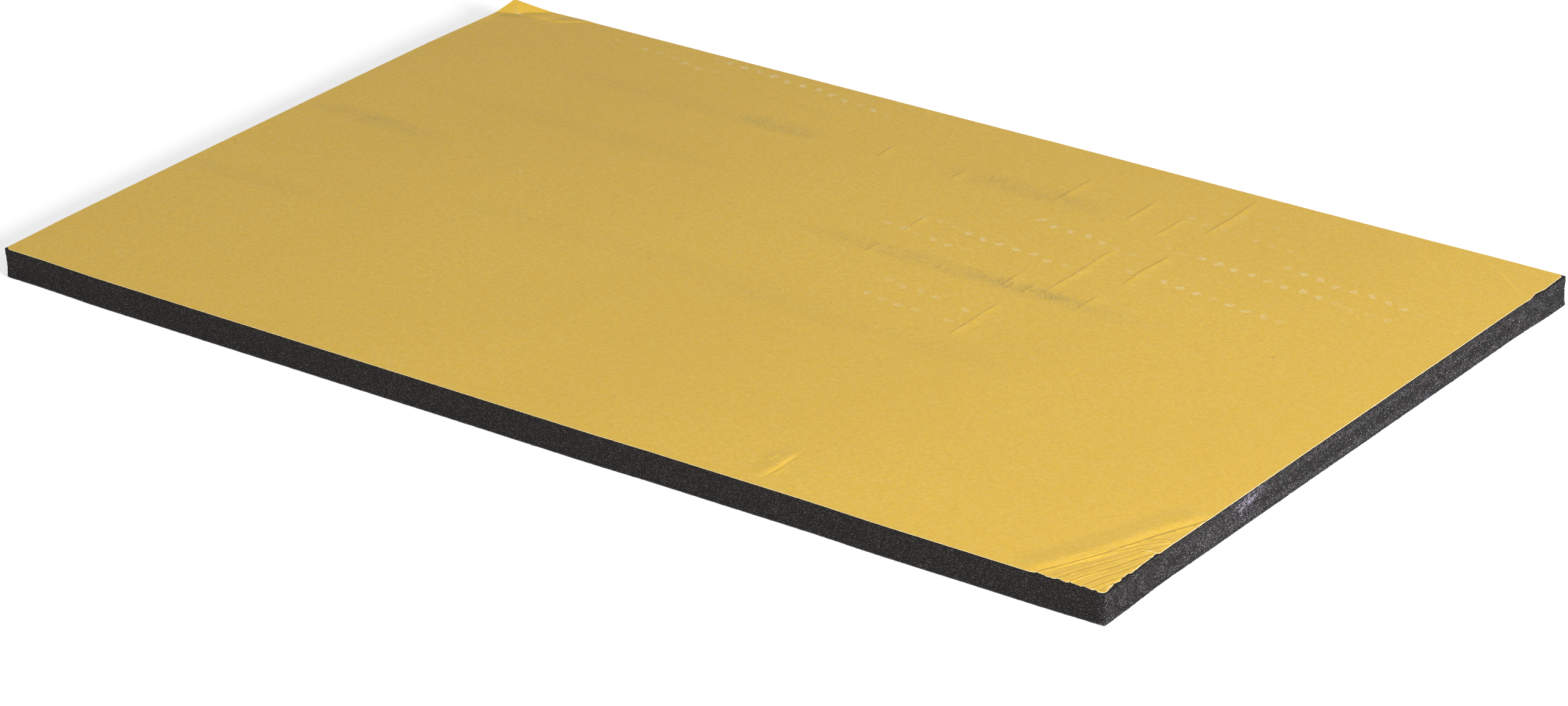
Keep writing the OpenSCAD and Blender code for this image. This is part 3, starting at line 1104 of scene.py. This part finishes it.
def crumb_tree():
    """Tree that scatters small flat crumbs over a surface, by a stored value."""
    tree = bpy.data.node_groups.new("Scatter crumbs", "GeometryNodeTree")
    for label, kind, value in CRUMB_INPUTS:
        socket = tree.interface.new_socket(label, in_out="INPUT", socket_type="NodeSocket" + kind)
        if value is not None:
            socket.default_value = value
    tree.interface.new_socket("Geometry", in_out="OUTPUT", socket_type="NodeSocketGeometry")
    n = Nodes(tree)
    given = n.add("NodeGroupInput").outputs
    share = n.add("GeometryNodeInputNamedAttribute", {"Name": given["Where"]}, data_type="FLOAT")
    points = n.add("GeometryNodeDistributePointsOnFaces", {
        "Mesh": given["Geometry"], "Seed": given["Seed"],
        "Density": n.times(given["Density"], share.outputs["Attribute"])},
        distribute_method="RANDOM")
    crumb = n.add("GeometryNodeMeshIcoSphere", {"Radius": 0.5, "Subdivisions": 1})
    turn = n.add("FunctionNodeRandomValue", {0: (0, 0, 0), 1: (math.tau, math.tau, math.tau),
                                             "Seed": given["Seed"]}, data_type="FLOAT_VECTOR")
    size = n.add("FunctionNodeRandomValue", {2: given["Smallest"], 3: given["Largest"]},
                 data_type="FLOAT")
    shape = n.add("FunctionNodeRandomValue", {0: given["Shape low"], 1: given["Shape high"]},
                  data_type="FLOAT_VECTOR")
    scale = n.add("ShaderNodeVectorMath", {0: shape.outputs[0], "Scale": size.outputs[1]},
                  operation="SCALE")
    placed = n.add("GeometryNodeInstanceOnPoints", {
        "Points": points.outputs["Points"], "Instance": crumb.outputs["Mesh"],
        "Rotation": turn.outputs[0], "Scale": scale.outputs[0]})
    real = n.add("GeometryNodeRealizeInstances", {"Geometry": placed.outputs[0]})
    painted = n.add("GeometryNodeSetMaterial", {"Geometry": real.outputs[0],
                                                "Material": given["Material"]})
    n.add("NodeGroupOutput", {"Geometry": painted.outputs[0]})
    return tree


def scatter(name, source, values):
    """A piece of crumbs scattered over one that is there, with the tree's inputs by name."""
    tree = bpy.data.node_groups.get("Scatter crumbs") or crumb_tree()
    host = object_from(name + "_host", bpy.data.objects[source].data.copy())
    modifier = host.modifiers.new("Grow", "NODES")
    modifier.node_group = tree
    for item in tree.interface.items_tree:
        if item.in_out == "INPUT" and item.name in values:
            modifier[item.identifier] = values[item.name]
    host.update_tag()
    graph = bpy.context.evaluated_depsgraph_get()
    graph.update()
    made = bpy.data.meshes.new_from_object(host.evaluated_get(graph), depsgraph=graph)
    host.modifiers.clear()
    bpy.data.objects.remove(host)
    made.name = name
    if not made.polygons:
        raise RuntimeError(name + " came out empty")
    return object_from(name, made)


def finish_mesh(mesh, angle):
    """Smooth shading with its edges sharp past that angle."""
    mesh.shade_smooth()
    mesh.set_sharp_from_angle(angle=math.radians(angle))


# Settings

def metres(name, description, default):
    """A length among the settings."""
    return FloatProperty(name=name, description=description, default=default,
                         subtype="DISTANCE", unit="LENGTH", precision=5)


def tinted(name, description, default):
    """A colour among the settings, with a linear default."""
    return FloatVectorProperty(name=name, description=description, default=default[:3],
                               subtype="COLOR", size=3, min=0, max=1)


class FoamBoardSettings(bpy.types.PropertyGroup):
    """Sizes and colours of the foam board."""

    side_hollow: metres("Side hollow", "How far the cut sides draw in at mid-height", 0.0006)
    upper_land: metres("Upper land", "Height of the square strip under the upper arris", 0.003)
    arris_radius: metres("Lower arris", "Radius of the rolled lower arris", 0.0019)
    corner_radius: metres("Corner radius", "Radius of the upright corners", 0.002)
    cell_pitch: metres("Cell pitch", "Spacing of the points round the cut sides", 0.0013)
    cell_depth: metres("Cell depth", "Depth of the open cells on the cut sides", 0.00028)
    cap_spacing: metres("Face spacing", "Spacing of the points on the two large faces", 0.025)
    foam_dark: tinted("Cell colour", "Colour down in the cells", tint(19, 17, 15))
    foam_light: tinted("Wall colour", "Colour of the cell walls", tint(36, 33, 30))
    # Pale cell walls with a painted glint
    speck_glint_color: tinted("Speck colour", "Colour of the cell walls that catch the light",
                        tint(106, 102, 97))
    fleck_density: FloatProperty(
        name="Fleck density", description="Pale cell-wall flecks to a square metre", default=52000)
    dust_density: FloatProperty(
        name="Dust density", description="Dust crumbs to a square metre at full dust",
        default=1300000)
    seed: IntProperty(name="Seed", description="Seed of the random shapes", default=7)


class LinerSettings(bpy.types.PropertyGroup):
    """Sizes and colours of the release liner."""

    thickness: metres("Thickness", "Thickness of the liner with its adhesive film", 0.0003)
    corner_lift: metres("Corner lift", "Height of the lifted corner's tip", 0.0035)
    pleat_height: FloatProperty(
        name="Pleat height", description="Height of the pleats against the measured ones",
        default=1.2, subtype="FACTOR")
    cross_height: metres("Cross crease height", "Height of the thin creases across the board",
                         0.00022)
    tear_roughness: metres("Tear roughness", "Raggedness of the torn edges", 0.0007)
    cut_waviness: metres("Cut waviness", "Waviness of the knife-cut edges", 0.0003)
    fibre_density: FloatProperty(
        name="Fibre density", description="Torn fibres to a square metre along the edge",
        default=300000)
    calm_step: metres("Calm spacing", "Spacing of the points where the sheet lies flat", 0.009)
    busy_step: metres("Busy spacing", "Spacing of the points where the sheet is creased", 0.0022)
    paper_color: tinted("Paper colour", "Golden colour of the liner", tint(238, 196, 73))
    paper_shadow: tinted("Mottle colour", "Darker colour between the fibres", tint(208, 166, 62))
    edge_color: tinted("Edge colour", "Cream of the cut edge", tint(244, 232, 198))


class StageSettings(bpy.types.PropertyGroup):
    """Camera, lamps and floor."""

    lens: FloatProperty(name="Lens", description="Focal length on a 36 mm sensor", default=123.81)
    floor_color: tinted("Floor colour", "Pale colour of the floor", (0.8, 0.8, 0.8))
    sky_level: FloatProperty(
        name="Sky level", description="Strength of the even light from all round", default=0.22)
    lamp_level: FloatProperty(
        name="Lamp level", description="Strength of the lamps against their usual power",
        default=1.0)


# Operators

# Least and greatest shape of a flat crumb and of a torn fibre, against its size
FLAKE = {"Shape low": (0.5, 0.5, 0.3), "Shape high": (1.2, 1.0, 0.7)}
SLIVER = {"Shape low": (1.4, 0.3, 0.3), "Shape high": (2.6, 0.5, 0.45)}
# Seed of the torn fibres
FIBRE_SEED = 3


class PANEL_OT_foam_board(bpy.types.Operator):
    """Cuts the foam board with its rough sides."""

    bl_idname = "foam_panel.foam_board"
    bl_label = "Foam board"

    def execute(self, context):
        settings = context.scene.foam_board_settings
        mesh = cut_board(settings)
        finish_mesh(mesh, angle=60)
        mesh.materials.append(cut_foam_material(settings))
        piece = object_from("foam_board", mesh)
        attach(piece, BODY)
        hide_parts("foam_slab")
        return {"FINISHED"}


class PANEL_OT_cell_flecks(bpy.types.Operator):
    """Scatters pale torn cell walls over the cut sides."""

    bl_idname = "foam_panel.cell_flecks"
    bl_label = "Cell flecks"

    def execute(self, context):
        settings = context.scene.foam_board_settings
        material = crumb_material("cell_fleck", tint(40, 38, 36), tint(96, 93, 91), 0.0006)
        piece = scatter("cell_flecks", "foam_board", {
            "Density": settings.fleck_density, "Where": "cut_side", "Smallest": 0.00022,
            "Largest": 0.00052, "Seed": settings.seed, "Material": material, **FLAKE})
        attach(piece, BODY)
        return {"FINISHED"}


class PANEL_OT_dust(bpy.types.Operator):
    """Scatters the pale dust on the right-hand cut side."""

    bl_idname = "foam_panel.dust"
    bl_label = "Dust on the cut side"

    def execute(self, context):
        settings = context.scene.foam_board_settings
        material = crumb_material("pale_dust", tint(176, 170, 190), tint(232, 230, 238), 0.0005)
        piece = scatter("side_dust", "foam_board", {
            "Density": settings.dust_density, "Where": "dust", "Smallest": 0.0002,
            "Largest": 0.0006, "Seed": settings.seed + 1, "Material": material, **FLAKE})
        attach(piece, BODY)
        return {"FINISHED"}


class PANEL_OT_liner(bpy.types.Operator):
    """Lays the release liner with its pleats, lifted corner and torn edges."""

    bl_idname = "foam_panel.liner"
    bl_label = "Release liner"

    def execute(self, context):
        settings = context.scene.liner_settings
        mesh = lay_liner(settings)
        finish_mesh(mesh, angle=50)
        mesh.materials.append(liner_material(settings))
        mesh.materials.append(torn_edge_material(settings))
        piece = object_from("liner_sheet", mesh)
        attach(piece, BODY)
        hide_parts("release_liner")
        return {"FINISHED"}


class PANEL_OT_edge_fibres(bpy.types.Operator):
    """Scatters short torn fibres along the liner's edge."""

    bl_idname = "foam_panel.edge_fibres"
    bl_label = "Edge fibres"

    def execute(self, context):
        settings = context.scene.liner_settings
        material = crumb_material("torn_fibre", tint(226, 206, 150), tint(246, 240, 222), 0.0004)
        piece = scatter("edge_fibres", "liner_sheet", {
            "Density": settings.fibre_density, "Where": "edge", "Smallest": 0.00022,
            "Largest": 0.0004, "Seed": FIBRE_SEED, "Material": material, **SLIVER})
        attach(piece, BODY)
        return {"FINISHED"}


# The floor in millimetres: half its size and its gap under the board, then how its darker
# clouds compare with its colour, and how strongly it glows for the camera
FLOOR_HALF = 6000.0
FLOOR_GAP = 0.3
FLOOR_SHADE = 0.97
FLOOR_GLOW = 0.62
# Lamps: name, place, aim, width, height and power
LAMPS = (
    ("key_softbox", (3.75, -1.35, 1.3), (0.0, 0.0, 0.0), 1.3, 1.3, 315),
    ("left_fill", (-1.3, -3.1, 0.6), (-0.3, -0.3, 0.0), 1.6, 0.7, 22),
)
# Camera at the photo's viewing angle: its place and its three axes
CAMERA_PLACE = (2.25646, -2.85999, 1.66084)
CAMERA_RIGHT = (0.79508, 0.60569, -0.03148)
CAMERA_UP = (-0.23516, 0.35571, 0.90453)
CAMERA_BACK = (0.55906, -0.71177, 0.42525)


def seen_directly(n):
    """1 for rays from the camera and off mirrors and glass, 0 for those that light things."""
    path = n.add("ShaderNodeLightPath").outputs
    return n.larger(n.larger(path["Is Camera Ray"], path["Is Glossy Ray"]),
                    path["Is Transmission Ray"])


class PANEL_OT_stage(bpy.types.Operator):
    """Sets the camera, the lamps, the floor and the pale surroundings."""

    bl_idname = "foam_panel.stage"
    bl_label = "Stage"

    def execute(self, context):
        scene = context.scene
        settings = scene.stage_settings
        camera = bpy.data.objects.new("camera", bpy.data.cameras.new("camera"))
        camera.data.sensor_fit = "HORIZONTAL"
        camera.data.sensor_width = 36.0
        camera.data.lens = settings.lens
        camera.data.clip_end = 100.0
        turn = Matrix((CAMERA_RIGHT, CAMERA_UP, CAMERA_BACK)).transposed()
        camera.matrix_world = Matrix.Translation(CAMERA_PLACE) @ turn.to_4x4()
        scene.collection.objects.link(camera)
        scene.camera = camera
        for name, place, aim, width, height, power in LAMPS:
            data = bpy.data.lights.new(name, "AREA")
            data.shape = "RECTANGLE"
            data.size = width
            data.size_y = height
            data.energy = power * settings.lamp_level
            lamp = bpy.data.objects.new(name, data)
            lamp.location = place
            ray = Vector(aim) - Vector(place)
            lamp.rotation_euler = ray.to_track_quat("-Z", "Y").to_euler()
            scene.collection.objects.link(lamp)
        self.lay_floor(settings)
        self.light_world(scene, settings)
        scene.view_settings.view_transform = "Standard"
        return {"FINISHED"}

    def lay_floor(self, settings):
        """A wide pale floor just under the board."""
        corners = [(x * FLOOR_HALF, y * FLOOR_HALF, -FLOOR_GAP)
                   for x, y in ((-1, -1), (1, -1), (1, 1), (-1, 1))]
        floor = object_from("floor", mesh_from("floor", corners, [(0, 1, 2, 3)]))
        material, n, shader, place = new_material("pale_floor")
        darker = [FLOOR_SHADE * c for c in settings.floor_color]
        shade = n.blend(n.noise(place, 8.0), opaque(settings.floor_color), opaque(darker))
        n.feed(shader, {"Base Color": shade, "Roughness": 0.9, "Specular IOR Level": 0.1})
        glow = n.add("ShaderNodeEmission", {"Strength": n.times(seen_directly(n), FLOOR_GLOW)})
        both = n.add("ShaderNodeAddShader", {0: shader.outputs[0], 1: glow.outputs[0]})
        n.feed(n.tree.nodes["Material Output"], {"Surface": both.outputs[0]})
        floor.data.materials.append(material)

    def light_world(self, scene, settings):
        """Even light from all round, seen as white."""
        world = bpy.data.worlds.new("surroundings")
        world.use_nodes = True
        world.node_tree.nodes.clear()
        n = Nodes(world.node_tree)
        level = n.math("MULTIPLY_ADD", seen_directly(n), 1.0 - settings.sky_level,
                       settings.sky_level)
        sky = n.add("ShaderNodeBackground", {"Color": (1, 1, 1, 1), "Strength": level})
        n.add("ShaderNodeOutputWorld", {"Surface": sky.outputs[0]})
        scene.world = world


class VIEW3D_PT_foam_panel(bpy.types.Panel):
    """Lists the steps and the settings in the sidebar."""

    bl_label = "Foam panel"
    bl_idname = "VIEW3D_PT_foam_panel"
    bl_space_type = "VIEW_3D"
    bl_region_type = "UI"
    bl_category = "Foam panel"

    def draw(self, context):
        column = self.layout.column()
        for step in STEPS:
            column.operator(step.bl_idname)
        for name in SETTINGS:
            group_settings = getattr(context.scene, name)
            for key in group_settings.bl_rna.properties.keys():
                if key not in ("rna_type", "name"):
                    column.prop(group_settings, key)


SETTINGS = {
    "foam_board_settings": FoamBoardSettings,
    "liner_settings": LinerSettings,
    "stage_settings": StageSettings,
}
STEPS = (PANEL_OT_stage, PANEL_OT_foam_board, PANEL_OT_cell_flecks, PANEL_OT_dust,
         PANEL_OT_liner, PANEL_OT_edge_fibres)


def register():
    for item in (*SETTINGS.values(), *STEPS, VIEW3D_PT_foam_panel):
        bpy.utils.register_class(item)
    for name, item in SETTINGS.items():
        setattr(bpy.types.Scene, name, PointerProperty(type=item))


def unregister():
    for name in SETTINGS:
        delattr(bpy.types.Scene, name)
    for item in (VIEW3D_PT_foam_panel, *reversed(STEPS), *reversed(tuple(SETTINGS.values()))):
        bpy.utils.unregister_class(item)


def main():
    register()
    bpy.ops.foam_panel.stage()
    bpy.ops.foam_panel.foam_board()
    bpy.ops.foam_panel.cell_flecks()
    bpy.ops.foam_panel.dust()
    bpy.ops.foam_panel.liner()
    bpy.ops.foam_panel.edge_fibres()


if __name__ == "__main__":
    main()
